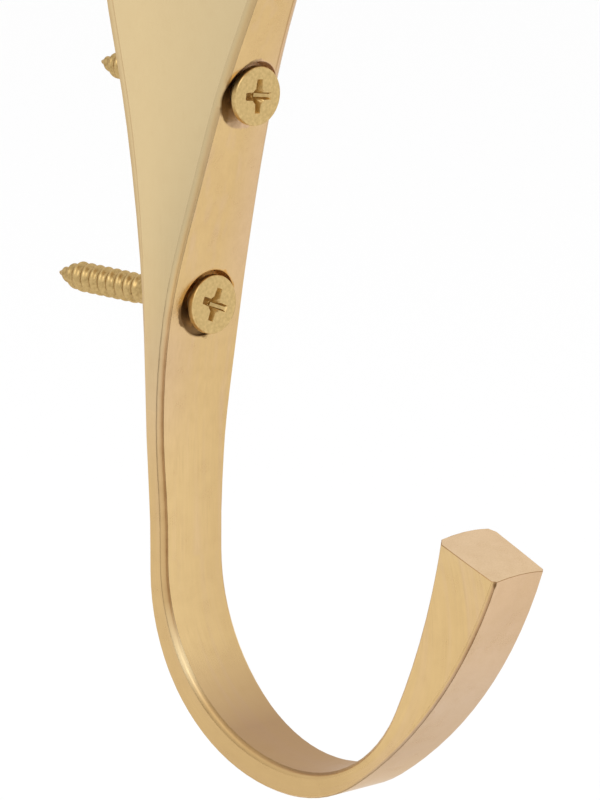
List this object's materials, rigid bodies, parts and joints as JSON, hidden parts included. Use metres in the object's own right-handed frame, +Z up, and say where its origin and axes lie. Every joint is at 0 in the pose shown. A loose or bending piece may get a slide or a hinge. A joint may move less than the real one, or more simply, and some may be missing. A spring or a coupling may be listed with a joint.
{
  "type": "horse head hook",
  "caption": "Cast brass wall hook with a plain horse head, a strap that curls forward to a square tip, and flat-head screws.",
  "frame": {"origin": "on the wall plane, midway between the two screws", "axes": "+Y into the wall along the screws, +Z up, +X to the right as seen from the room"},
  "size_m": [0.029, 0.089, 0.1814],
  "materials": {
    "cast_brass": "satin",
    "screw_brass": "satin"
  },
  "bodies": {
    "root": {"hook_body": "cast_brass", "mounting_screws": "screw_brass"}
  },
  "joints": []
}
